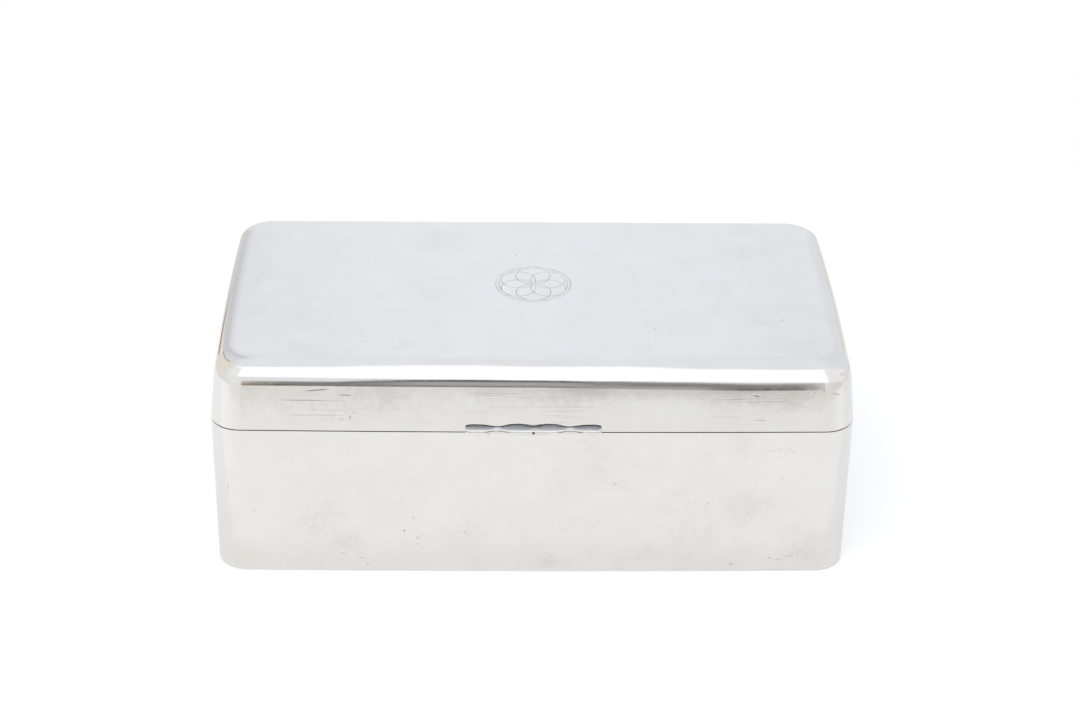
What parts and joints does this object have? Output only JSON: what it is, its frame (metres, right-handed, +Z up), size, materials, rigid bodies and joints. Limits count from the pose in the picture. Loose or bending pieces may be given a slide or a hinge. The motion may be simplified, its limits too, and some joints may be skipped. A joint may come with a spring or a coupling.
{
  "type": "silver cigar box",
  "caption": "Rectangular polished silver cigar box with rounded corners, a hinged cushion lid with a scalloped thumbpiece and a cedar-lined interior.",
  "frame": {"origin": "middle of the underside of the base plate, which is what the box rests on", "axes": "+X along the box's long side to the right as seen from the front, -Y towards the thumbpiece, +Z up"},
  "size_m": [0.225, 0.1229, 0.0837],
  "materials": {
    "silver": "polished",
    "cast_silver": "polished",
    "hinge_silver": "gloss",
    "cedar": "satin"
  },
  "bodies": {
    "body": {"body_wall": "silver", "base_plate": "silver", "body_bearer": "hinge_silver", "body_knuckle_1": "hinge_silver", "body_knuckle_2": "hinge_silver", "body_knuckle_3": "hinge_silver", "body_knuckle_4": "hinge_silver", "hinge_pin": "hinge_silver", "hinge_plug_left": "hinge_silver", "hinge_plug_right": "hinge_silver", "lining_base": "cedar", "lining_front": "cedar", "lining_back": "cedar", "lining_left": "cedar", "lining_right": "cedar"},
    "lid": {"lid_shell": "silver", "lid_bearer": "hinge_silver", "lid_knuckle_1": "hinge_silver", "lid_knuckle_2": "hinge_silver", "lid_knuckle_3": "hinge_silver", "thumbpiece": "cast_silver", "lid_lining_top": "cedar", "lid_lining_front": "cedar", "lid_lining_back": "cedar", "lid_lining_left": "cedar", "lid_lining_right": "cedar"}
  },
  "joints": [
    {"name": "lid_hinge", "type": "hinge", "parent": "body", "child": "lid", "pos_m": [0, 0.0586, 0.05795], "axis": [-1, 0, 0], "range_deg": [0, 95]}
  ]
}
